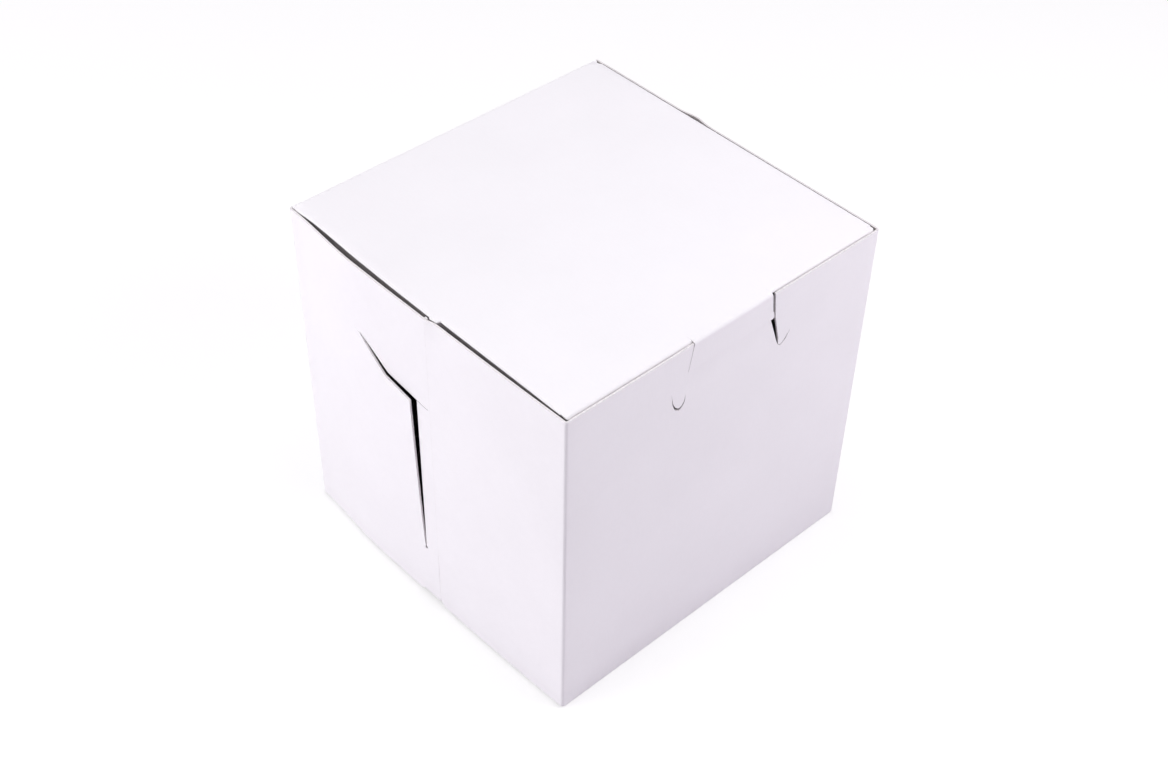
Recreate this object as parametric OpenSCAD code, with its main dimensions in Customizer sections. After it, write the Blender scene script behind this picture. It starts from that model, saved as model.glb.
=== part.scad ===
// Bakery box folded from one sheet of thin white board, with its lid closed.
// Frame: millimetres, +Z up, origin on the floor under the middle of the box.
// The front panel faces -Y, and the lid turns on a crease along the rear top edge.
// Each side wall is a front flap and a rear flap that lock past each other at the middle.

/* [Box] */
// Width of the front and back panels, from crease to crease
box_w = 102; // [85:1:150]
// Depth from the front panel to the back panel
box_d = 100.5; // [85:0.5:150]
// Height from the floor to the top of the closed lid
box_h = 100; // [85:1:150]

/* [Board] */
// Thickness of the board
board_t = 0.5; // [0.35:0.05:0.6]
// Outer radius of every crease
crease_r = 0.8; // [0.7:0.05:1.2]
// Width of the cuts that part one piece of board from the next
cut_w = 0.3; // [0.15:0.05:0.5]
// Clearance between two layers of board that stay face to face
layer_gap = 0.2; // [0.15:0.05:0.4]
// Clearance between the lid's turned-down edges and the walls that they slide behind
slide_gap = 0.35; // [0.3:0.05:0.6]
// How far the top edges of the walls stay below the top of the lid
rim_drop = 0.3; // [0.2:0.1:1]

/* [Side walls] */
// How far the free edge of each side flap passes the middle of the wall
flap_overlap = 4; // [3.5:0.5:8]
// How far the outer flap bulges out at the middle of the wall
wall_bow = 1.9; // [1.2:0.1:3]
// Depth of the slit's cross point below the top of the box
slit_down = 31; // [28:1:36]
// Length of the upright slit in the outer flap
slit_len = 53.5; // [40:0.5:56]
// How far behind the middle of the wall the slit stands at its cross point
slit_back = 3; // [2.5:0.5:4]
// How much further forward the slit's lower end stands than its cross point
slit_lean = 0.8; // [0:0.1:1.5]
// Level stretch of the slit's rear arm
arm_level = 10.5; // [6:0.5:14]
// Run of the rear arm's rising stretch
arm_run = 10.5; // [6:0.5:14]
// Height that the rear arm's rising stretch gains
arm_rise = 6.5; // [3:0.5:8]
// Length of the slit's short front arm
short_arm = 4.5; // [2:0.5:5]
// How far the cut corner below the rear arm stands out of the wall
corner_lift = 1.5; // [0.5:0.1:2.5]

/* [Front lock] */
// Width of the lid strip that folds down in front of the tongue
strip_w = 25; // [18:0.5:32]
// Height of that strip
strip_h = 8; // [5:0.5:10]
// How far to the right of the middle the lock stands
lock_shift = 1.4; // [-3:0.1:3]
// Depth of the two slits beside the tongue, below the top of the box
tongue_h = 18.3; // [16:0.1:22]
// How much further out each slit stands at its foot than at its top
slit_spread = 3.1; // [1:0.1:4]
// Radius of the hook at the foot of each slit
hook_r = 2.4; // [1.5:0.1:3]

/* [Lid] */
// Depth of the side ears that are turned down inside the walls
ear_depth = 25; // [15:1:27]
// Setback of the ears' ends from the front and the back panel
ear_setback = 3; // [2.5:0.5:6]
// How much each end of an ear slants in on its way down
ear_slant = 4; // [1:0.5:8]
// Depth of the tuck flap's two legs behind the front panel
tuck_depth = 25; // [22:1:27]
// Clearance between the legs of the tuck flap and the lid's ears
tuck_side = 1.2; // [0.8:0.1:3]
// Clearance between the legs of the tuck flap and the slits beside the tongue
tuck_notch = 0.8; // [0.6:0.1:2]
// Radius of the rounded corners of ears and legs
tab_r = 6; // [3:0.5:8]

/* [Bottom] */
// Height of the bottom panel's side flaps, turned up inside the walls
foot_flap_h = 14; // [8:1:15]

/* [Hidden] */
board_color = [0.95, 0.94, 0.96];
lid_color = [0.98, 0.98, 0.98];
tuck_color = [0.9, 0.89, 0.92];

$fn = 48;
bow_steps = 6;
overlap = 0.05;
reach = 4 * crease_r + wall_bow + corner_lift;

half_w = box_w / 2;
half_d = box_d / 2;
rim_z = box_h - rim_drop;
back_top = box_h - board_t - layer_gap;
// Outer face of the ears and of the bottom's side flaps, inside the side walls
inner_x = half_w - board_t - slide_gap;

// A side flap runs from its corner crease past the middle of the wall
flap_len = half_d - crease_r + flap_overlap;
inner_bow = wall_bow - board_t - layer_gap;

// The T-shaped slit on the wall, as [y, z] points
cross_pt = [slit_back, box_h - slit_down];
foot_pt = cross_pt + [-slit_lean, -slit_len];
knee_pt = cross_pt + [arm_level, 0];
arm_pt = knee_pt + [arm_run, arm_rise];
short_pt = cross_pt + [-short_arm, 0];
// How far the step in the inner flap's edge runs past the slit at each end
notch_margin = 2;

// The front lock, as [x, z] values seen from the front
strip_z = box_h - strip_h;
tongue_top = box_h - board_t - crease_r;
slit_top_x = strip_w / 2 + cut_w;
slit_foot_x = slit_top_x + slit_spread;
hook_x = slit_foot_x + hook_r;
hook_z = box_h - tongue_h + hook_r;
// The tongue bends where its slits turn into their hooks, and passes behind the strip
tongue_tilt = atan((board_t + slide_gap) / (strip_z - hook_z));
// Inner edges of the legs, clear of the hooks of the slits
leg_in = slit_foot_x + cut_w + tuck_notch;

// The front fold, round which the tuck flap turns
fold_y = -half_d + board_t + slide_gap + crease_r;
fold_z = box_h - crease_r;
leg_out = inner_x - board_t - tuck_side;

// Radius of an arc that rises by bow over its run and ends level
function bow_radius(run, bow) = (run * run + bow * bow) / (2 * bow);

// Height of that arc at a distance from its start
function bow_at(s, run, bow) =
    let (r = bow_radius(run, bow)) sqrt(r * r - (run - s) * (run - s)) - r + bow;

// Points of an arc in the plane, from angle a to angle b
function arc_points(centre, r, a, b, steps = 8) =
    [for (i = [0 : steps]) centre + r * [cos(a + (b - a) * i / steps), sin(a + (b - a) * i / steps)]];

// Quarter ring of board along X for a crease, with its corner towards -Y and +Z
module crease_along_x(from_x, to_x) {
    translate([from_x, 0, 0])
        rotate([90, 0, 90])
            linear_extrude(to_x - from_x)
                crease_profile();
}

// Quarter ring, corner towards -X and +Y of the drawing plane
module crease_profile() {
    intersection() {
        difference() {
            circle(crease_r);
            circle(crease_r - board_t);
        }
        translate([-crease_r, 0])
            square(crease_r);
    }
}

// Unit vector square to the step from point a to point b
function square_to(a, b) = [a[1] - b[1], b[0] - a[0]] / norm(b - a);

// Shift of a cut's edge at corner i of its path, mitred where the path bends
function cut_edge(path, i) =
    let (
        before = square_to(path[max(i - 1, 0)], path[max(i, 1)]),
        after = square_to(path[min(i, len(path) - 2)], path[min(i + 1, len(path) - 1)]),
        middle = (before + after) / norm(before + after)
    )
    middle * cut_w / 2 / (middle * before);

// Cut of one width along a path of points, with a round far end
module cut_path(path) {
    last = len(path) - 1;
    polygon(concat(
        [for (i = [0 : last]) path[i] + cut_edge(path, i)],
        [for (i = [last : -1 : 0]) path[i] - cut_edge(path, i)]
    ));
    translate(path[last])
        circle(cut_w / 2);
}

// Tab of board that hangs from y = 0: slanted ends and rounded lower corners
module tab_outline(width, depth, slant, r) {
    lean = atan(slant / depth);
    side = depth - r * (1 - sin(lean));
    inset = side * tan(lean) + r * cos(lean);
    polygon(concat(
        [[0, 0]],
        arc_points([inset, r - depth], r, 180 + lean, 270),
        arc_points([width - inset, r - depth], r, 270, 360 - lean),
        [[width, 0]]
    ));
}

// Plan of a bulged side flap: starts at the origin, runs along +Y, bulges towards -X
module flap_plan(bow) {
    r = bow_radius(flap_len, bow);
    centre = [r - bow, flap_len];
    start = 180 + asin((flap_len + overlap) / r);
    polygon(concat(
        arc_points(centre, r, start, 180, bow_steps),
        arc_points(centre, r - board_t, 180, start, bow_steps)
    ));
}

// Side flap at the left rear corner with its corner crease, before its cuts
module rear_flap_blank() {
    translate([-half_w, half_d - crease_r, crease_r])
        mirror([0, 1, 0])
            linear_extrude(rim_z - crease_r)
                flap_plan(wall_bow);
}

// Side flap at the left front corner, the inner layer where the two overlap
module front_flap() {
    difference() {
        translate([-half_w, -half_d + crease_r, crease_r])
            linear_extrude(rim_z - crease_r)
                flap_plan(inner_bow);
        // Its edge steps back behind the slit, which leaves a finger above and one below
        through_side()
            translate([foot_pt[0] / 2, foot_pt[1] - notch_margin])
                square([half_d, slit_len + 2 * notch_margin]);
    }
}

// Extrudes a [y, z] drawing through the left wall
module through_side() {
    translate([-half_w - reach, 0, 0])
        rotate([90, 0, 90])
            linear_extrude(2 * reach)
                children();
}

// Corner of board between the rear arm and the upright slit, on the [y, z] plane
module corner_outline(grow = 0) {
    bend = arm_pt - foot_pt;
    side = [bend[1], -bend[0]] / norm(bend) * grow;
    polygon([arm_pt + side, knee_pt, cross_pt, foot_pt + side]);
}

// The cuts that shape the T, on the [y, z] plane
module t_slit() {
    cut_path([short_pt, knee_pt, arm_pt]);
    cut_path([cross_pt, foot_pt]);
}

// Rear side flap: outer layer, with the T-shaped slit and its cut corner standing out
module rear_flap() {
    difference() {
        rear_flap_blank();
        through_side() {
            t_slit();
            corner_outline();
        }
    }
    raised_corner();
}

// Place on the inner face of the rear flap behind a [y, z] point
function on_rear_flap(pt) =
    [board_t - half_w - bow_at(half_d - crease_r - pt[0], flap_len, wall_bow), pt[0], pt[1]];

// Cut corner of the rear flap, bent out along the line from the arm's end to the slit's foot
module raised_corner() {
    foot_at = on_rear_flap(foot_pt);
    bend = on_rear_flap(arm_pt) - foot_at;
    across = [0, bend[2], -bend[1]];
    run = norm(across);
    corner = on_rear_flap(cross_pt) - [corner_lift, 0, 0] - foot_at;
    // Distance of the corner from the bend line, along the wall and out of it
    reach_along = -(across * corner) / run;
    along = (corner[1] * bend[1] + corner[2] * bend[2]) / (run * run);
    reach_out = along * bend[0] - corner[0];
    translate(foot_at)
        rotate(a = -asin(reach_out / reach_along), v = bend)
            rotate(a = atan(bend[0] / run), v = across)
                translate([-board_t, -foot_pt[0], -foot_pt[1]])
                    rotate([90, 0, 90])
                        linear_extrude(board_t)
                            difference() {
                                corner_outline(overlap);
                                t_slit();
                            }
}

// Quarter ring of board at a vertical corner, corner towards -X and +Y
module corner_crease() {
    translate([crease_r - half_w, half_d - crease_r, crease_r])
        linear_extrude(rim_z - crease_r)
            crease_profile();
}

// Outline of one slit beside the tongue, from the rim down to its hook, for +X
module j_slit() {
    cut_path([[slit_top_x, box_h], [slit_foot_x, hook_z]]);
    translate([hook_x, hook_z])
        intersection() {
            difference() {
                circle(hook_r + cut_w / 2);
                circle(hook_r - cut_w / 2);
            }
            translate([-2 * hook_r, -2 * hook_r])
                square([4 * hook_r, 2 * hook_r]);
        }
}

// Outline of the tongue between its slits, on the [x, z] plane, inset from their middles
module tongue_outline(top, inset = 0, foot = 0) {
    lean = slit_spread / (box_h - hook_z);
    top_x = slit_foot_x - lean * (top - hook_z) - inset;
    foot_x = slit_foot_x - inset;
    polygon([[-foot_x, hook_z - foot], [foot_x, hook_z - foot], [top_x, top], [-top_x, top]]);
}

// Extrudes an [x, z] drawing of the lock through the front panel
module through_front(thick, inset = 0) {
    translate([lock_shift, inset + thick - half_d, 0])
        rotate([90, 0, 0])
            linear_extrude(thick)
                children();
}

// Front panel with its two hooked slits and the tongue that leans in behind the lid's strip
module front_panel() {
    difference() {
        translate([crease_r - half_w, -half_d, crease_r])
            cube([box_w - 2 * crease_r, board_t, rim_z - crease_r]);
        through_front(3 * board_t, -board_t) {
            tongue_outline(box_h);
            for (side = [0, 1])
                mirror([side, 0])
                    j_slit();
        }
    }
    translate([0, -half_d, hook_z])
        rotate([-tongue_tilt, 0, 0])
            translate([0, half_d, -hook_z])
                through_front(board_t)
                    tongue_outline(tongue_top, cut_w, overlap);
}

// Bottom panel with its front and rear creases and its two turned-up side flaps
module bottom_panel() {
    flat_x = inner_x - crease_r;
    translate([-flat_x, crease_r - half_d, 0])
        cube([2 * flat_x, box_d - 2 * crease_r, board_t]);
    for (rear = [0, 1])
        mirror([0, rear, 0])
            translate([0, crease_r - half_d, crease_r])
                mirror([0, 0, 1])
                    crease_along_x(crease_r - half_w, half_w - crease_r);
    for (side = [0, 1])
        mirror([side, 0, 0])
            turned_edge(foot_flap_h, ear_slant);
}

// Flap along the left edge of a panel that lies on the floor, turned up inside the wall
module turned_edge(depth, slant) {
    run = box_d - 2 * ear_setback;
    translate([crease_r - inner_x, -run / 2, crease_r])
        rotate([-90, 0, 0])
            linear_extrude(run)
                crease_profile();
    translate([-inner_x, -run / 2, crease_r])
        rotate([90, 0, 90])
            linear_extrude(board_t)
                mirror([0, 1])
                    tab_outline(run, depth - crease_r, slant, min(tab_r, depth - 2 * crease_r));
}

module box_body() {
    color(board_color) {
        front_panel();
        bottom_panel();
        translate([crease_r - half_w, half_d - board_t, crease_r])
            cube([box_w - 2 * crease_r, board_t, back_top - crease_r]);
        for (side = [0, 1])
            mirror([side, 0, 0]) {
                rear_flap();
                front_flap();
                corner_crease();
                mirror([0, 1, 0])
                    corner_crease();
            }
    }
}

module lid() {
    flat_x = inner_x - crease_r;
    color(lid_color) {
        translate([-flat_x, fold_y, box_h - board_t])
            cube([2 * flat_x, half_d - fold_y, board_t]);
        for (side = [0, 1])
            mirror([side, 0, 0])
                translate([0, 0, box_h])
                    mirror([0, 0, 1])
                        turned_edge(ear_depth, ear_slant);
    }
}

// One leg of the tuck flap, for +X, hanging from the fold behind the front panel
module tuck_leg(inner_edge) {
    translate([inner_edge, fold_y - crease_r + board_t, fold_z])
        rotate([90, 0, 0])
            linear_extrude(board_t)
                tab_outline(leg_out - inner_edge, tuck_depth - crease_r, ear_slant / 2, tab_r);
}

module tuck_flap() {
    color(tuck_color) {
        translate([0, fold_y, fold_z])
            crease_along_x(-leg_out, leg_out);
        tuck_leg(leg_in + lock_shift);
        mirror([1, 0, 0])
            tuck_leg(leg_in - lock_shift);
        // The strip keeps the plane of the front panel, so its own fold lies further out
        translate([lock_shift - strip_w / 2, crease_r - half_d, box_h - board_t])
            cube([strip_w, fold_y + half_d - crease_r, board_t]);
        translate([lock_shift, crease_r - half_d, fold_z])
            crease_along_x(-strip_w / 2, strip_w / 2);
        translate([lock_shift - strip_w / 2, -half_d, strip_z])
            cube([strip_w, board_t, fold_z - strip_z]);
    }
}

box_body();
lid();
tuck_flap();
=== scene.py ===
import math

import bpy
import numpy as np
from mathutils import Matrix, Vector
from mathutils.geometry import delaunay_2d_cdt


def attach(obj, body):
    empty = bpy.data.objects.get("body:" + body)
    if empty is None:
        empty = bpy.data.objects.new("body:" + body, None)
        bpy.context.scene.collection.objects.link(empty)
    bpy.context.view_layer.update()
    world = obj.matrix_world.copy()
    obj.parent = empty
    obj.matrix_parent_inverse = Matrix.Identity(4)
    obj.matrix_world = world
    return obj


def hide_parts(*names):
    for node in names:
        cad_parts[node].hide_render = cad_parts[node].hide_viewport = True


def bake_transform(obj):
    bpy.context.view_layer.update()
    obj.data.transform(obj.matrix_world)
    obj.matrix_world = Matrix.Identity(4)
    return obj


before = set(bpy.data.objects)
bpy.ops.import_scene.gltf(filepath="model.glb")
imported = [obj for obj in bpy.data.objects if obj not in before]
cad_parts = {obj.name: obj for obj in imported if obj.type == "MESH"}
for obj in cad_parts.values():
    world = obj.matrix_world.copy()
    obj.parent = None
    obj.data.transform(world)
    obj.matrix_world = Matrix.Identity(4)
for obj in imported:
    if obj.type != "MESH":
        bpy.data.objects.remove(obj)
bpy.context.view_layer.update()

# Sizes in millimetres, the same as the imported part's
MM = 0.001
BOARD = 0.5
FOLD_R = 0.8
ARC = FOLD_R * math.pi / 2
HALF_W = 51.0
HALF_D = 50.25
BOX_H = 100.0
RIM_Z = 99.7
PANEL_FLAT = HALF_W - FOLD_R
INNER_FLAT = 49.35
FLAT_D = HALF_D - FOLD_R
LID_FOLD_Y = -48.6
FLAP_LEN = 53.45
LOCK_X = 1.4
HOOK_Z = 84.1
TONGUE_TOP = 98.7
LEG_IN = 17.0
LEG_OUT = 48.45
STRIP_Z = 92.0
# Sides of the lock's strip, measured in the photo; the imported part's strip runs from -11.1 to 13.9
STRIP_EDGES = (-12.25, 13.35)
# Seams between the pieces, and the reach of the hinge crease at the corners
SEAM_BACK_Z = 98.3
SEAM_LID_Y = 48.5
LID_SEAM_Y = -47.9
LEG_SEAM_Z = 98.5
CORNER_U = 50.45
# Tabs: the turned-up flaps of the bottom, the lid's ears and the tuck flap's legs
TAB_END_Y = 47.25
TAB_SLANT = 4.0
TAB_R = 6.0
FOOT_H = 14.0
FLAP_DROP = 25.0
LEG_SLANT = 2.0
# Spacing of the points inside a sheet and along its edges
GRID = 2.4
EDGE_STEP = 1.6
ROW_SHARE = 0.87
CLEAR_SHARE = 0.45

# The sheet is laid out flat on (u, s): u across, s along its spine from the front panel's top edge
SPINE_FLATS = [RIM_Z - FOLD_R, 2 * FLAT_D, BOX_H - 2 * FOLD_R, FLAT_D - LID_FOLD_Y, FLAP_DROP - FOLD_R]
SPINE_STARTS = [0.0]
for _flat in SPINE_FLATS[:-1]:
    SPINE_STARTS.append(SPINE_STARTS[-1] + _flat + ARC)
S_FRONT, S_BOTTOM, S_BACK, S_LID, S_LEG = SPINE_STARTS


def front_s(z):
    return S_FRONT + RIM_Z - z


def bottom_s(y):
    return S_BOTTOM + y + FLAT_D


def back_s(z):
    return S_BACK + z - FOLD_R


def lid_s(y):
    return S_LID + FLAT_D - y


def leg_s(z):
    return S_LEG + BOX_H - FOLD_R - z


def spine(s, flats, start, heading):
    """Points and outward normals, as (y, z) pairs, of a path of flats joined by left-hand folds."""
    point, angle = np.array(start, float), heading
    place = np.zeros((len(s), 2))
    normal = np.zeros((len(s), 2))
    at = 0.0
    for i, flat in enumerate(flats):
        ahead = np.array([math.cos(angle), math.sin(angle)])
        out = np.array([ahead[1], -ahead[0]])
        on = s >= at - 1e-9 if i else np.ones(len(s), bool)
        place[on] = point + np.outer(s[on] - at, ahead)
        normal[on] = out
        point, at = point + flat * ahead, at + flat
        on = s > at
        turn = (s[on] - at) / FOLD_R
        centre = point - out * FOLD_R
        cos, sin = np.cos(turn), np.sin(turn)
        bent = np.stack([out[0] * cos - out[1] * sin, out[0] * sin + out[1] * cos], 1)
        place[on] = centre + FOLD_R * bent
        normal[on] = bent
        angle += math.pi / 2
        ahead_next = np.array([math.cos(angle), math.sin(angle)])
        point = centre + FOLD_R * np.array([ahead_next[1], -ahead_next[0]])
        at += ARC
    return place, normal


def main_spine(s):
    return spine(s, SPINE_FLATS, (-HALF_D, RIM_Z), -math.pi / 2)


def strip_spine(s):
    """The lock's strip stays on the lid's plane for longer and folds down in the front panel's plane."""
    flats = [2 * FLAT_D, BOX_H - FOLD_R - STRIP_Z]
    return spine(s - S_LID, flats, (FLAT_D, BOX_H), math.pi)


def fold_sheet(uv, out, path=main_spine):
    """Folds flat points (u, s) to their place on the box, moved outward along the board by out."""
    u, s = uv[:, 0], uv[:, 1]
    # Beside the lid's crease the back panel and its flaps go straight up to the rim
    back_end = S_BACK + SPINE_FLATS[2]
    straight = (np.abs(u) > PANEL_FLAT - 0.02) & (s > back_end) & (s < S_LID - ARC / 2)
    place, normal = path(np.where(straight, back_end, s))
    place[:, 1] += np.where(straight, s - back_end, 0)
    side = np.where(u < 0, -1.0, 1.0)
    narrow = ((s > S_BOTTOM - ARC / 2) & (s < S_BACK - ARC / 2)) | (s > S_LID - ARC / 2)
    flat = np.where(narrow, INNER_FLAT, PANEL_FLAT)
    in_crease = (s > S_LID - ARC) & (s < S_LID) & ~straight
    flat = np.where(in_crease, PANEL_FLAT + (INNER_FLAT - PANEL_FLAT) * (s - S_LID + ARC) / ARC, flat)
    past = np.maximum(np.abs(u) - flat, 0)
    turn = np.minimum(past / FOLD_R, math.pi / 2)
    along = np.maximum(past - ARC, 0)
    x = side * (np.minimum(np.abs(u), flat) + FOLD_R * np.sin(turn))
    depth = FOLD_R * (1 - np.cos(turn)) + along
    upright = past > 0
    run = np.where(upright, np.sin(turn), 0) * out
    x = x + side * run
    level = np.where(upright, np.cos(turn), 1) * out - depth
    return np.stack([x, place[:, 0] + normal[:, 0] * level, place[:, 1] + normal[:, 1] * level], 1)


def inside(points, loop):
    """Which points lie inside a closed loop."""
    x, y = points[:, 0], points[:, 1]
    hit = np.zeros(len(points), bool)
    for (x0, y0), (x1, y1) in zip(loop, np.roll(loop, -1, 0)):
        if y0 == y1:
            continue
        crosses = (y0 > y) != (y1 > y)
        hit ^= crosses & (x < (x1 - x0) * (y - y0) / (y1 - y0) + x0)
    return hit


def refined(loop, step, closed=True):
    """The loop with points added so that no stretch is longer than step."""
    points = [np.array(p, float) for p in loop]
    ends = points[1:] + points[:1] if closed else points[1:]
    result = []
    for a, b in zip(points, ends):
        count = max(1, math.ceil(np.linalg.norm(b - a) / step))
        result += [a + (b - a) * i / count for i in range(count)]
    if not closed:
        result.append(points[-1])
    return np.array(result)


def arc(centre, r, a, b, steps=8):
    return [(centre[0] + r * math.cos(math.radians(a + (b - a) * i / steps)),
             centre[1] + r * math.sin(math.radians(a + (b - a) * i / steps))) for i in range(steps + 1)]


def ribbon(path, widths):
    """Closed loop round a path, with a width at each point."""
    path = np.array(path, float)
    step = np.diff(path, axis=0)
    square = np.stack([-step[:, 1], step[:, 0]], 1) / np.linalg.norm(step, axis=1)[:, None]
    before = np.vstack([square[:1], square])
    after = np.vstack([square, square[-1:]])
    middle = before + after
    middle /= np.linalg.norm(middle, axis=1)[:, None]
    middle /= np.maximum((middle * before).sum(1), 0.5)[:, None]
    half = np.array(widths, float)[:, None] / 2
    return np.vstack([path + middle * half, (path - middle * half)[::-1]])


def tab(width, depth, slant, r):
    """Half-open outline of a tab: (across, down) points from one end of its fold to the other."""
    lean = math.degrees(math.atan(slant / depth))
    side = depth - r * (1 - math.sin(math.radians(lean)))
    inset = side * math.tan(math.radians(lean)) + r * math.cos(math.radians(lean))
    points = [(0, 0)] + arc((inset, r - depth), r, 180 + lean, 270)
    points += arc((width - inset, r - depth), r, 270, 360 - lean) + [(width, 0)]
    return [(x, -y) for x, y in points]


def lay_out(outline, holes=(), folds=(), step=EDGE_STEP, grid=GRID):
    """Triangulates a flat outline less its holes, with rows of points along each fold."""
    loops = [refined(outline, step)] + [refined(h, step) for h in holes]
    rows = [refined(f, grid, closed=False) for f in folds]
    points, edges = [], []
    for line, closed in [(l, True) for l in loops] + [(r, False) for r in rows]:
        base = len(points)
        points += [tuple(p) for p in line]
        count = len(line)
        edges += [(base + i, base + (i + 1) % count) for i in range(count if closed else count - 1)]
    lo, hi = np.min(loops[0], 0), np.max(loops[0], 0)
    xs = np.arange(lo[0] + grid / 2, hi[0], grid)
    ys = np.arange(lo[1] + grid / 2, hi[1], grid * ROW_SHARE)
    field = np.array([(x + (grid / 2 if j % 2 else 0), y) for j, y in enumerate(ys) for x in xs])
    keep = inside(field, loops[0])
    for hole in loops[1:]:
        keep &= ~inside(field, hole)
    field = field[keep]
    fixed = np.array(points)
    near = np.zeros(len(field), bool)
    for chunk in np.array_split(np.arange(len(field)), max(1, len(field) // 2000)):
        gap = np.linalg.norm(field[chunk][:, None, :] - fixed[None, :, :], axis=2).min(1)
        near[chunk] = gap < grid * CLEAR_SHARE
    points += [tuple(p) for p in field[~near]]
    found = delaunay_2d_cdt([Vector(p) for p in points], edges, [], 0, 1e-4, False)
    verts = np.array([tuple(v) for v in found[0]])
    tris = np.array([f for f in found[2]])
    centre = verts[tris].mean(1)
    keep = inside(centre, loops[0])
    for hole in loops[1:]:
        keep &= ~inside(centre, hole)
    tris = tris[keep]
    used = np.unique(tris)
    again = np.full(len(verts), -1)
    again[used] = np.arange(len(used))
    return verts[used], again[tris]


def board_mesh(name, outer, tris, materials):
    """Closed board of one thickness: outer face from the given points, inner face behind, cut edges round."""
    a, b, c = outer[tris[:, 0]], outer[tris[:, 1]], outer[tris[:, 2]]
    face_normal = np.cross(b - a, c - a)
    normal = np.zeros_like(outer)
    for k in range(3):
        np.add.at(normal, tris[:, k], face_normal)
    normal /= np.linalg.norm(normal, axis=1)[:, None]
    inner = outer - normal * BOARD
    count = len(outer)
    directed = {}
    for t in tris:
        for i, j in ((t[0], t[1]), (t[1], t[2]), (t[2], t[0])):
            directed[(int(i), int(j))] = True
    rim = [(i, j) for i, j in directed if (j, i) not in directed]
    faces = [tuple(int(i) for i in t) for t in tris]
    faces += [tuple(int(i) + count for i in t[::-1]) for t in tris]
    faces += [(j, i, i + count, j + count) for i, j in rim]
    mesh = bpy.data.meshes.new(name)
    mesh.from_pydata([tuple(p * MM) for p in np.vstack([outer, inner])], [], faces)
    kinds = [0] * len(tris) + [1] * len(tris) + [2] * len(rim)
    for material in materials:
        mesh.materials.append(material)
    mesh.polygons.foreach_set("material_index", kinds)
    mesh.polygons.foreach_set("use_smooth", [True] * len(faces))
    mesh.update()
    mesh.set_sharp_from_angle(angle=math.radians(40))
    obj = bpy.data.objects.new(name, mesh)
    bpy.context.scene.collection.objects.link(obj)
    return obj


def oriented(verts, tris):
    """Turns the triangles so that they face outward once the sheet is folded."""
    a, b, c = verts[tris[:, 0]], verts[tris[:, 1]], verts[tris[:, 2]]
    flat = (b[:, 0] - a[:, 0]) * (c[:, 1] - a[:, 1]) - (b[:, 1] - a[:, 1]) * (c[:, 0] - a[:, 0])
    return np.where((flat > 0)[:, None], tris[:, ::-1], tris)


def relaxed(tris, count, fixed, value, rounds=900):
    """Spreads the values of the fixed points smoothly over the others."""
    pairs = np.vstack([tris[:, [0, 1]], tris[:, [1, 2]], tris[:, [2, 0]]])
    pairs = np.vstack([pairs, pairs[:, ::-1]])
    degree = np.bincount(pairs[:, 0], minlength=count).astype(float)
    field = value.copy()
    for _ in range(rounds):
        total = np.bincount(pairs[:, 0], weights=field[pairs[:, 1]], minlength=count)
        field = np.where(fixed, value, total / np.maximum(degree, 1))
    return field


def mirrored(points):
    return [(-x, y) for x, y in points]


def eased(x):
    x = np.clip(x, 0, 1)
    return x * x * (3 - 2 * x)


def fold_rows(u0, u1, s0, steps=6):
    """Rows of points across a fold of the spine, which keep its round form."""
    return [[(u0, s0 + ARC * i / steps), (u1, s0 + ARC * i / steps)] for i in range(steps + 1)]


def side_rows(u0, s0, s1, steps=6):
    """Columns of points along a side fold, on both sides."""
    return [[(side * (u0 + ARC * i / steps), s0), (side * (u0 + ARC * i / steps), s1)]
            for side in (-1, 1) for i in range(steps + 1)]


def node(tree, kind, **sockets):
    made = tree.nodes.new(kind)
    for key, value in sockets.items():
        made.inputs[key.replace("_", " ")].default_value = value
    return made


# Colour sockets of a mix node
MIX_A, MIX_B, MIX_RESULT = 6, 7, 2


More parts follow.
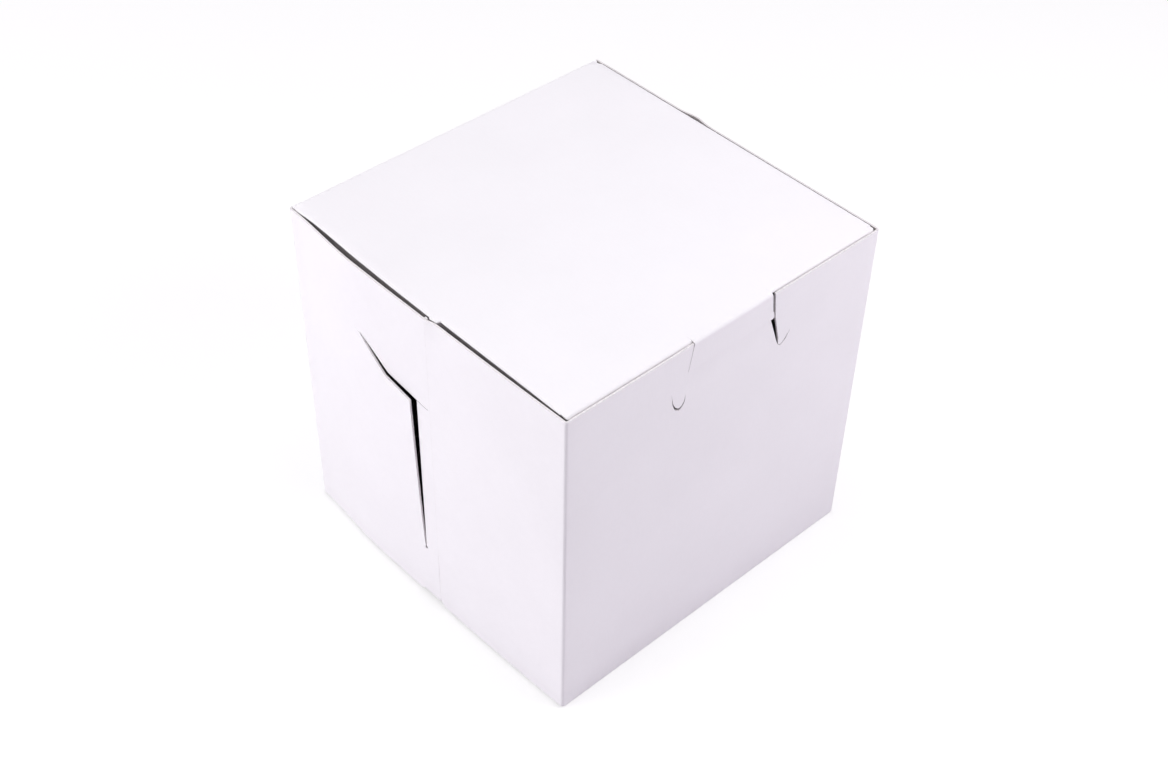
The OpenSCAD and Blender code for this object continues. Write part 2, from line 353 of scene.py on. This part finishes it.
def board_material(name, colour, mottle, grain, fibre, rough, bump):
    """Matt board: faint cloudy tone, short fibres and a fine grain that also lifts the surface."""
    material = bpy.data.materials.new(name)
    material.use_nodes = True
    tree = material.node_tree
    tree.nodes.clear()
    place = tree.nodes.new("ShaderNodeTexCoord")
    cloud = node(tree, "ShaderNodeTexNoise", Scale=38.0, Detail=3.0, Roughness=0.55)
    fine = node(tree, "ShaderNodeTexNoise", Scale=1900.0, Detail=2.0, Roughness=0.6)
    stretch = node(tree, "ShaderNodeMapping", Scale=(2600.0, 420.0, 420.0), Rotation=(0.3, 0.5, 0.9))
    strands = node(tree, "ShaderNodeTexNoise", Scale=1.0, Detail=2.0, Roughness=0.5)
    tree.links.new(place.outputs["Object"], cloud.inputs["Vector"])
    tree.links.new(place.outputs["Object"], fine.inputs["Vector"])
    tree.links.new(place.outputs["Object"], stretch.inputs["Vector"])
    tree.links.new(stretch.outputs["Vector"], strands.inputs["Vector"])
    before = None
    for source, amount in ((cloud, mottle), (fine, grain), (strands, fibre)):
        ramp = tree.nodes.new("ShaderNodeValToRGB")
        low, high = ramp.color_ramp.elements
        low.position = 0.3
        high.position = 0.7
        low.color = (1 - amount, 1 - amount, 1 - amount, 1)
        high.color = (1, 1, 1, 1)
        tree.links.new(source.outputs["Fac"], ramp.inputs["Fac"])
        mix = tree.nodes.new("ShaderNodeMix")
        mix.data_type = "RGBA"
        mix.blend_type = "MULTIPLY"
        mix.inputs["Factor"].default_value = 1.0
        if before:
            tree.links.new(before.outputs[MIX_RESULT], mix.inputs[MIX_A])
        else:
            mix.inputs[MIX_A].default_value = (*colour, 1)
        tree.links.new(ramp.outputs["Color"], mix.inputs[MIX_B])
        before = mix
    height = tree.nodes.new("ShaderNodeMath")
    height.operation = "ADD"
    tree.links.new(fine.outputs["Fac"], height.inputs[0])
    tree.links.new(strands.outputs["Fac"], height.inputs[1])
    lift = node(tree, "ShaderNodeBump", Strength=bump, Distance=0.00006)
    tree.links.new(height.outputs[0], lift.inputs["Height"])
    shader = node(tree, "ShaderNodeBsdfPrincipled", Roughness=rough, IOR=1.45)
    shader.inputs["Specular IOR Level"].default_value = 0.25
    tree.links.new(before.outputs[MIX_RESULT], shader.inputs["Base Color"])
    tree.links.new(lift.outputs["Normal"], shader.inputs["Normal"])
    end = tree.nodes.new("ShaderNodeOutputMaterial")
    tree.links.new(shader.outputs["BSDF"], end.inputs["Surface"])
    return material


coated = board_material("coated_face", (0.935, 0.930, 0.943), 0.022, 0.012, 0.010, 0.62, 0.25)
plain = board_material("plain_face", (0.80, 0.77, 0.735), 0.05, 0.08, 0.10, 0.85, 0.6)
cut = board_material("cut_edge", (0.90, 0.88, 0.88), 0.05, 0.14, 0.08, 0.9, 0.8)
BOARD_MATERIALS = [coated, plain, cut]


def finish_piece(obj, *nodes):
    if nodes:
        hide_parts(*nodes)
    return obj


# Body: front panel, bottom, back panel and their side flaps, in one sheet
REAR_EDGE_Y = -4.0
FLAP_END_Y = 4.0
BEHIND_SLIT_Y = 1.1
NOTCH_Z = (13.5, 71)
RIM_ZONE_Z = 92.5


def flap_u(d):
    return PANEL_FLAT + ARC + d


def front_flap_u(y):
    return flap_u(y + FLAT_D)


def rear_flap_u(y):
    return flap_u(FLAT_D - y)


def body_outline():
    """Right half of the body's outline, from the middle of the front rim to the middle of the back seam."""
    foot = tab(2 * TAB_END_Y, FOOT_H - FOLD_R, TAB_SLANT, TAB_R)
    low, high = NOTCH_Z
    half = [(0, 0)]
    # Front flap: a tooth on its rim, then its edge steps back behind the slit
    half += [(front_flap_u(-3.4), front_s(RIM_Z)), (front_flap_u(FLAP_END_Y), front_s(RIM_ZONE_Z))]
    half += [(front_flap_u(FLAP_END_Y), front_s(high)), (front_flap_u(BEHIND_SLIT_Y), front_s(high))]
    half += [(front_flap_u(BEHIND_SLIT_Y), front_s(low)), (front_flap_u(FLAP_END_Y), front_s(low))]
    half += [(front_flap_u(FLAP_END_Y), front_s(4.8))]
    half += [(front_flap_u(-4.5), front_s(FOLD_R + 0.9)), (front_flap_u(-5.5), front_s(FOLD_R))]
    half += [(PANEL_FLAT, front_s(FOLD_R)), (PANEL_FLAT, S_BOTTOM), (INNER_FLAT, S_BOTTOM)]
    half += [(INNER_FLAT, bottom_s(-TAB_END_Y)), (INNER_FLAT + ARC, bottom_s(-TAB_END_Y))]
    half += [(INNER_FLAT + ARC + down, bottom_s(-TAB_END_Y) + across) for across, down in foot[1:-1]]
    half += [(INNER_FLAT + ARC, bottom_s(TAB_END_Y)), (INNER_FLAT, bottom_s(TAB_END_Y))]
    half += [(INNER_FLAT, S_BACK - ARC), (PANEL_FLAT, S_BACK - ARC), (PANEL_FLAT, S_BACK)]
    # Rear flap, the outer layer, with the lower corner of its free edge cut off
    half += [(rear_flap_u(FLAP_END_Y), back_s(FOLD_R)), (rear_flap_u(2.6), back_s(FOLD_R + 0.9))]
    half += [(rear_flap_u(REAR_EDGE_Y), back_s(FOLD_R + 1.0)), (rear_flap_u(REAR_EDGE_Y), back_s(RIM_Z))]
    half += [(PANEL_FLAT, back_s(RIM_Z)), (PANEL_FLAT, back_s(SEAM_BACK_Z)), (0, back_s(SEAM_BACK_Z))]
    return half


# The T slit in a side wall: (y, z) points of its upright and its two arms, and the width at each point.
# Measured in the photo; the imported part's slit stands 2 to 4 mm lower and up to 2 mm further back
CROSS, KNEE, ARM_END = (1.4, 71.4), (11.7, 72.7), (22.0, 79.0)
SLIT_FOOT, SHORT_END = (0.8, 19.3), (-3.1, 71.0)
UPRIGHT_WIDTHS = [1.1, 0.9, 0.7, 0.45, 0.2]
ARM_WIDTHS = [0.16, 0.3, 0.35, 0.12]
FOOT_DOT_R, SHORT_DOT_R = 0.5, 0.2
LIFT = 1.35


def on_rear_flap(points, side):
    return [(side * rear_flap_u(y), back_s(z)) for y, z in points]


def slit_loops(side):
    """The slit's upright, its arms and the round relief cuts at two of its ends."""
    upright = [(CROSS[0] + (SLIT_FOOT[0] - CROSS[0]) * k, CROSS[1] + (SLIT_FOOT[1] - CROSS[1]) * k)
               for k in (0, 0.25, 0.5, 0.75, 1)]
    arms = [SHORT_END, CROSS, KNEE, ARM_END]
    loops = [ribbon(on_rear_flap(upright, side), UPRIGHT_WIDTHS)]
    loops.append(ribbon(on_rear_flap(arms, side), ARM_WIDTHS))
    for place, r in ((SLIT_FOOT, FOOT_DOT_R), (SHORT_END, SHORT_DOT_R)):
        loops.append(arc(on_rear_flap([place], side)[0], r, 0, 315, 7))
    return loops


def front_lock_loops():
    """The slits beside the tongue, each with its hook, and the stretch of rim that the strip passes over."""
    right = [(13.4, 101.0), (13.95, 101.0), (15.05, 92.3), (15.2, 91.7), (16.95, 84.5), (17.2, 82.4)]
    right += [(17.7, 81.75), (18.6, 81.85), (19.6, 82.6), (21.3, 85.3), (19.4, 82.95), (18.5, 82.15)]
    right += [(17.7, 82.05), (16.85, 82.7), (16.15, 84.5), (14.2, 91.6), (14.6, 92.2)]
    left = [(-12.35, 101.0), (-12.25, 101.0), (-13.3, 92.0), (-14.0, 86.5), (-14.25, 83.4), (-14.9, 82.2)]
    left += [(-16.0, 81.5), (-17.3, 82.3), (-18.3, 84.5), (-18.8, 88.0), (-18.1, 84.8), (-17.1, 82.9)]
    left += [(-16.0, 82.15), (-15.0, 82.8), (-14.45, 83.8), (-14.1, 86.5), (-13.4, 92.0)]
    rim = [(-12.35, 101), (13.95, 101), (13.8, TONGUE_TOP), (-12.5, TONGUE_TOP)]
    return [np.array([(x, front_s(z)) for x, z in loop]) for loop in (right, left, rim)]


# How far the walls bow out, measured in the photo: the rear flap, the front flap, its rim, and the rim
# at the flap's free edge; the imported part's walls bow out by 1.9
REAR_BOW, REAR_BOW_RUN, MIDDLE_DIP = 1.52, 26.5, 0.1
FRONT_BOW, RIM_BOW, FINGER_BOW = 1.48, 0.75, 0.7
FINGER_Y, FINGER_RUN = -7.2, 3.2
FLAP_STEP = 0.56
BULGE, BULGE_Y, BULGE_RUN = 0.8, 12.5, 3.2
BULGE_Z, BULGE_RISE = 93, 6.5
STRAIGHTENED, STRAIGHT_Z, STRAIGHT_RISE = 0.97, 72, 26


def rear_bow(y):
    """Bow of the rear flap, which has no bow at its fold at the rear."""
    return REAR_BOW * eased((FLAT_D - y) / REAR_BOW_RUN) - MIDDLE_DIP * eased((15 - y) / 20)


def front_bow(y, z):
    """Bow of the front flap: level with the rear flap up to its edge, then behind it; less at the rim."""
    t = np.clip((y + FLAT_D) / FLAP_LEN, 0, 1)
    level = FRONT_BOW * (1 - (1 - t) ** 1.7)
    rim = RIM_BOW * (1 - (1 - t) ** 2.2) + FINGER_BOW * eased((y - FINGER_Y) / FINGER_RUN)
    near_rim = eased((z - RIM_ZONE_Z) / (RIM_Z - RIM_ZONE_Z))
    return np.where(y > REAR_EDGE_Y + 0.02, rear_bow(y) - FLAP_STEP, level + (rim - level) * near_rim)


def side_bow(bow, u, y, z):
    """The right wall's rim stands almost straight, but for a short bulge."""
    straight = 1 - STRAIGHTENED * eased((z - STRAIGHT_Z) / STRAIGHT_RISE)
    bulge = BULGE * np.exp(-((y - BULGE_Y) / BULGE_RUN) ** 2) * eased((z - BULGE_Z) / BULGE_RISE)
    return np.where(u < 0, bow, bow * straight + bulge)


TONGUE_LEAN, TONGUE_CURVE = 0.88, 1.15
PANEL_DIP = 0.08


def front_lock_depth(u, z):
    """How far the front panel stands in: the tongue behind the strip, and the stretch to the strip's left."""
    lean = np.clip((z - HOOK_Z) / (STRIP_Z - HOOK_Z), 0, 2)
    left_edge = np.interp(z, [83.4, 86.5, 92.0, 101.0], [-14.3, -14.05, -13.35, -12.3])
    right_edge = np.interp(z, [82.4, 91.7, 92.2, 101.0], [17.0, 14.5, 14.5, 13.6])
    on_tongue = (u > left_edge) & (u < right_edge) & (z > HOOK_Z)
    beside = (u < left_edge) & (u > -20)
    dip = PANEL_DIP * eased((z - 89) / 3) * eased((u + 19) / 4)
    return np.where(on_tongue, TONGUE_LEAN * lean ** TONGUE_CURVE, 0) + np.where(beside, dip, 0)


# Bands of the rear flap that hold the lift: below and above the rear arm, behind the upright, by the fold
BELOW_ARM, ABOVE_ARM, BEHIND_UPRIGHT, BY_FOLD = 0.5, 0.6, 0.9, 2
FLAT_BELOW_Z, FLAT_ABOVE_Z = 1.8, 97


def slit_lift(tris, on_flap, past, y, z):
    """Lift of the rear flap's cut corner between the upright and the rear arm, spread from its two edges."""
    upright_y = np.interp(z, [SLIT_FOOT[1], CROSS[1]], [SLIT_FOOT[0], CROSS[0]])
    arm_z = np.interp(y, [CROSS[0], KNEE[0], ARM_END[0]], [CROSS[1], KNEE[1], ARM_END[1]])
    corner = on_flap & (y > upright_y) & (y < ARM_END[0]) & (z < arm_z) & (z > SLIT_FOOT[1])
    by_arm = corner & (z > arm_z - BELOW_ARM)
    lifted = by_arm | (corner & (y < upright_y + BEHIND_UPRIGHT))
    run_up = np.clip((z - SLIT_FOOT[1]) / (CROSS[1] - SLIT_FOOT[1]), 0, 1)
    run_back = np.clip((ARM_END[0] - y) / (ARM_END[0] - CROSS[0]), 0, 1)
    rise = LIFT * np.where(by_arm, run_back ** 0.45, run_up ** 0.55)
    front_of_slit = (y < upright_y) & (z > SLIT_FOOT[1]) & (z < CROSS[1])
    above_arm = (y > SHORT_END[0]) & (y < ARM_END[0]) & (z > arm_z) & (z < arm_z + ABOVE_ARM)
    level = front_of_slit | above_arm | (past < BY_FOLD) | (z < FLAT_BELOW_Z) | (z > FLAT_ABOVE_Z)
    fixed = ~on_flap | lifted | level
    return relaxed(tris, len(y), fixed, np.where(lifted, rise, 0))


def build_body():
    half = body_outline()
    outline = half + mirrored(half[::-1][1:-1])
    holes = front_lock_loops()
    for side in (-1, 1):
        holes += slit_loops(side)
        foot = (side * front_flap_u(SLIT_FOOT[0]), front_s(SLIT_FOOT[1]))
        holes.append(arc(foot, FOOT_DOT_R, 0, 315, 7))
    folds = fold_rows(-PANEL_FLAT, PANEL_FLAT, front_s(FOLD_R))
    folds += fold_rows(-INNER_FLAT, INNER_FLAT, S_BACK - ARC)
    folds += side_rows(PANEL_FLAT, front_s(RIM_Z), front_s(FOLD_R))
    folds += side_rows(PANEL_FLAT, back_s(FOLD_R), back_s(RIM_Z))
    folds += side_rows(INNER_FLAT, bottom_s(-TAB_END_Y), bottom_s(TAB_END_Y))
    # The front flap steps back just behind the rear flap's free edge
    for side in (-1, 1):
        for y in (REAR_EDGE_Y - 0.03, REAR_EDGE_Y + 0.07):
            folds.append([(side * front_flap_u(y), front_s(RIM_Z)), (side * front_flap_u(y), front_s(2.9))])
    verts, tris = lay_out(outline, holes, folds)
    tris = oriented(verts, tris)
    u, s = verts[:, 0], verts[:, 1]
    past = np.maximum(np.abs(u) - PANEL_FLAT - ARC, 0)
    on_front = s < S_BOTTOM - ARC / 2
    on_back = s > S_BACK - ARC / 2
    z_front, z_back = RIM_Z - s, s - S_BACK + FOLD_R
    y_front, y_rear = past - FLAT_D, FLAT_D - past
    front_out = side_bow(front_bow(y_front, z_front), u, y_front, z_front)
    out = np.where(on_front & (past > 0), front_out, 0)
    out += np.where(on_back & (past > 0), side_bow(rear_bow(y_rear), u, y_rear, z_back), 0)
    out -= np.where(on_front, front_lock_depth(u, z_front), 0)
    out += slit_lift(tris, on_back & (past > 0), past, y_rear, z_back)
    obj = board_mesh("body_board", fold_sheet(verts, out), tris, BOARD_MATERIALS)
    finish_piece(obj, "box_body")
    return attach(obj, "box_body")


# How far the lid's edges stand out from a straight line, on the left and on the right
LID_BOW_Y = [-48, -33, -17, -7.5, -7.1, -6.7, -4.5, -4.1, 0, 10, 20, 27, 35, 42, 45, 47, 50]
LID_BOW = [0.05, 0.0, 0.05, 0.05, 0.08, 1.0, 1.3, 0.88, 0.87, 0.82, 0.63, 0.48, 0.12, -0.02, 0.12, 0.28, 0.28]
LID_RIGHT = 0.28
EAR_LEAN = 1.9
EAR_GAP = 0.05
FRONT_CORNERS = {-1: 50.0, 1: 50.12}


def build_lid():
    ear = tab(2 * TAB_END_Y, FLAP_DROP - FOLD_R, TAB_SLANT, TAB_R)
    outline = []
    for side in (1, -1):
        corner_u = FRONT_CORNERS[side]
        half = [(0, lid_s(SEAM_LID_Y)), (CORNER_U, lid_s(SEAM_LID_Y)), (CORNER_U, lid_s(TAB_END_Y + EAR_GAP))]
        half += [(INNER_FLAT + ARC + down, lid_s(TAB_END_Y) + across) for across, down in ear]
        half += [(corner_u, lid_s(-TAB_END_Y - EAR_GAP)), (corner_u, lid_s(LID_SEAM_Y))]
        half += [(0, lid_s(LID_SEAM_Y))]
        outline += half if side > 0 else mirrored(half[::-1])[1:-1]
    folds = side_rows(INNER_FLAT, lid_s(TAB_END_Y), lid_s(-TAB_END_Y))
    # Short rows where the left edge steps out and back
    for y in (-7.5, -7.1, -6.7, -4.5, -4.1, -3.7):
        folds.append([(-INNER_FLAT + 6, lid_s(y)), (-INNER_FLAT - ARC - 4, lid_s(y))])
    verts, tris = lay_out(outline, [], folds)
    tris = oriented(verts, tris)
    points = fold_sheet(verts, np.zeros(len(verts)))
    # The left edge bows out with the wall, and both ears lean back in below
    u, y = verts[:, 0], FLAT_D - verts[:, 1] + S_LID
    near_edge = eased((np.abs(u) - INNER_FLAT + 14) / 14)
    bow = np.where(u < 0, np.interp(y, LID_BOW_Y, LID_BOW), LID_RIGHT) * near_edge
    below = np.maximum(BOX_H - FOLD_R / 2 - points[:, 2], 0)
    lean = EAR_LEAN * (1 - np.exp(-below / EAR_LEAN))
    points[:, 0] += np.sign(u) * (bow - lean)
    obj = board_mesh("lid_board", points, tris, BOARD_MATERIALS)
    finish_piece(obj, "lid")
    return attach(obj, "lid")


def build_hinge():
    rows = fold_rows(-CORNER_U, CORNER_U, S_LID - ARC, 8)
    outline = [(-PANEL_FLAT + 0.03, back_s(SEAM_BACK_Z)), (PANEL_FLAT - 0.03, back_s(SEAM_BACK_Z)),
               (CORNER_U, lid_s(SEAM_LID_Y)), (-CORNER_U, lid_s(SEAM_LID_Y))]
    verts, tris = lay_out(outline, [], rows)
    tris = oriented(verts, tris)
    obj = board_mesh("hinge_crease", fold_sheet(verts, np.zeros(len(verts))), tris, BOARD_MATERIALS)
    finish_piece(obj)
    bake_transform(obj)
    return obj


def build_tuck():
    pieces = []
    for side in (-1, 1):
        inner_edge = LEG_IN + side * LOCK_X
        shape = tab(LEG_OUT - inner_edge, FLAP_DROP - FOLD_R, LEG_SLANT, TAB_R)
        outline = [(side * (inner_edge + across), S_LEG + down) for across, down in shape if down > 0.7]
        outline = [(side * inner_edge, leg_s(LEG_SEAM_Z))] + outline + [(side * LEG_OUT, leg_s(LEG_SEAM_Z))]
        verts, tris = lay_out(outline)
        tris = oriented(verts, tris)
        name = "tuck_leg_left" if side < 0 else "tuck_leg_right"
        leg = board_mesh(name, fold_sheet(verts, np.zeros(len(verts))), tris, BOARD_MATERIALS)
        finish_piece(leg, "tuck_flap")
        pieces.append(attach(leg, "tuck_flap"))
        start_u, end_u = abs(STRIP_EDGES[side > 0]) + 0.03, FRONT_CORNERS[side]
        outline = [(start_u, lid_s(LID_SEAM_Y)), (end_u, lid_s(LID_SEAM_Y)), (end_u, S_LEG - 0.35)]
        outline += [(LEG_OUT, S_LEG + 0.3), (LEG_OUT, leg_s(LEG_SEAM_Z)), (inner_edge, leg_s(LEG_SEAM_Z))]
        outline += [(inner_edge, S_LEG + 0.3), (start_u, S_LEG - 0.35)]
        outline = [(side * a, b) for a, b in outline]
        rows = [[(side * a, b) for a, b in row] for row in fold_rows(start_u, end_u, S_LEG - ARC, 8)]
        verts, tris = lay_out(outline, [], rows)
        tris = oriented(verts, tris)
        name = "tuck_crease_left" if side < 0 else "tuck_crease_right"
        crease = board_mesh(name, fold_sheet(verts, np.zeros(len(verts))), tris, BOARD_MATERIALS)
        finish_piece(crease)
        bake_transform(crease)
        pieces.append(crease)
    # Strip of the lock: flat stretch that bends with the lid, then its own fold
    lo, hi = STRIP_EDGES
    strip_fold = S_LID + 2 * FLAT_D
    middle = S_LID + FLAT_D + 49.2
    past_fold = strip_fold + ARC
    strip_end = past_fold + BOX_H - FOLD_R - STRIP_Z
    outline = [(lo, middle), (hi, middle), (hi, past_fold), (hi + 0.95, strip_end)]
    outline += [(lo - 1.5, strip_end), (lo - 0.25, past_fold + 0.6), (lo, past_fold)]
    verts, tris = lay_out(outline, [], fold_rows(lo, hi, strip_fold, 8))
    tris = oriented(verts, tris)
    points = fold_sheet(verts, np.zeros(len(verts)), strip_spine)
    strip = board_mesh("lock_strip", points, tris, BOARD_MATERIALS)
    finish_piece(strip)
    pieces.append(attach(strip, "tuck_flap"))
    outline = [(lo, lid_s(LID_SEAM_Y)), (hi, lid_s(LID_SEAM_Y)), (hi, middle), (lo, middle)]
    verts, tris = lay_out(outline, [], [], 0.5, 0.6)
    tris = oriented(verts, tris)
    points = fold_sheet(verts, np.zeros(len(verts)), strip_spine)
    bend = board_mesh("lock_crease", points, tris, BOARD_MATERIALS)
    finish_piece(bend)
    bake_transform(bend)
    pieces.append(bend)
    return pieces


build_body()
build_lid()
build_hinge()
build_tuck()


FLOOR_HALF = 3.0
FLOOR_CELLS = 24
FLOOR_DROP = 0.00005


def build_floor():
    """Pale floor that the camera sees as white, apart from the box's soft shadow."""
    mesh = bpy.data.meshes.new("floor")
    row = FLOOR_CELLS + 1
    ticks = [FLOOR_HALF * (2 * i / FLOOR_CELLS - 1) for i in range(row)]
    points = [(x, y, -FLOOR_DROP) for y in ticks for x in ticks]
    corners = [j * row + i for j in range(FLOOR_CELLS) for i in range(FLOOR_CELLS)]
    faces = [(k, k + 1, k + 1 + row, k + row) for k in corners]
    mesh.from_pydata(points, [], faces)
    floor = bpy.data.objects.new("floor", mesh)
    bpy.context.scene.collection.objects.link(floor)
    material = bpy.data.materials.new("pale_floor")
    material.use_nodes = True
    tree = material.node_tree
    tree.nodes.clear()
    rays = tree.nodes.new("ShaderNodeLightPath")
    lit = node(tree, "ShaderNodeBsdfDiffuse", Color=(0.82, 0.80, 0.83, 1))
    seen = node(tree, "ShaderNodeBsdfDiffuse", Color=(0.46, 0.46, 0.46, 1))
    white = node(tree, "ShaderNodeEmission", Color=(1, 1, 1, 1), Strength=0.58)
    both = tree.nodes.new("ShaderNodeAddShader")
    tree.links.new(seen.outputs["BSDF"], both.inputs[0])
    tree.links.new(white.outputs["Emission"], both.inputs[1])
    choice = tree.nodes.new("ShaderNodeMixShader")
    tree.links.new(rays.outputs["Is Camera Ray"], choice.inputs["Fac"])
    tree.links.new(lit.outputs["BSDF"], choice.inputs[1])
    tree.links.new(both.outputs["Shader"], choice.inputs[2])
    end = tree.nodes.new("ShaderNodeOutputMaterial")
    tree.links.new(choice.outputs["Shader"], end.inputs["Surface"])
    mesh.materials.append(material)


def area_light(name, place, target, size, power, colour):
    data = bpy.data.lights.new(name, "AREA")
    data.shape = "DISK"
    data.size = size
    data.energy = power
    data.color = colour
    lamp = bpy.data.objects.new(name, data)
    lamp.location = place
    lamp.rotation_mode = "QUATERNION"
    lamp.rotation_quaternion = (Vector(target) - Vector(place)).to_track_quat("-Z", "Y")
    lamp.visible_camera = False
    bpy.context.scene.collection.objects.link(lamp)


# Each lamp's place, size, power and colour; all face the middle of the box
LAMPS = {
    "lamp_left": ((-0.65, 0.3, 0.3), 0.5, 3.4, (1.0, 0.99, 0.995)),
    "lamp_top": ((0.0, 0.1, 1.7), 1.5, 17.3, (0.985, 1.0, 0.98)),
    "lamp_front": ((0.24, -0.36, 0.34), 0.25, 1.25, (0.995, 0.965, 1.0)),
}
LAMP_TARGET = (0, 0, 0.05)


def build_light():
    world = bpy.data.worlds.new("studio")
    world.use_nodes = True
    tree = world.node_tree
    tree.nodes.clear()
    rays = tree.nodes.new("ShaderNodeLightPath")
    tint = tree.nodes.new("ShaderNodeMix")
    tint.data_type = "RGBA"
    tint.inputs[MIX_A].default_value = (0.122, 0.092, 0.138, 1)
    tint.inputs[MIX_B].default_value = (1, 1, 1, 1)
    tree.links.new(rays.outputs["Is Camera Ray"], tint.inputs["Factor"])
    sky = tree.nodes.new("ShaderNodeBackground")
    tree.links.new(tint.outputs[MIX_RESULT], sky.inputs["Color"])
    end = tree.nodes.new("ShaderNodeOutputWorld")
    tree.links.new(sky.outputs["Background"], end.inputs["Surface"])
    bpy.context.scene.world = world
    for name, (place, size, power, colour) in LAMPS.items():
        area_light(name, place, LAMP_TARGET, size, power, colour)


# The photo's width and the fitted focal length, both in pixels
PHOTO_WIDTH = 1168
FOCAL_PIXELS = 1714
SENSOR = 36


def build_camera():
    data = bpy.data.cameras.new("camera")
    data.lens = FOCAL_PIXELS / PHOTO_WIDTH * SENSOR
    data.sensor_width = SENSOR
    camera = bpy.data.objects.new("camera", data)
    forward = Vector((0.5030, 0.5321, -0.6810)).normalized()
    up = Vector((0.4508, 0.5108, 0.7321))
    up = (up - forward * up.dot(forward)).normalized()
    right = forward.cross(up)
    turn = Matrix((right, up, -forward)).transposed()
    camera.matrix_world = Matrix.Translation((-0.22705, -0.24174, 0.35180)) @ turn.to_4x4()
    bpy.context.scene.collection.objects.link(camera)
    bpy.context.scene.camera = camera


build_floor()
build_light()
build_camera()
bpy.context.scene.view_settings.view_transform = "Standard"
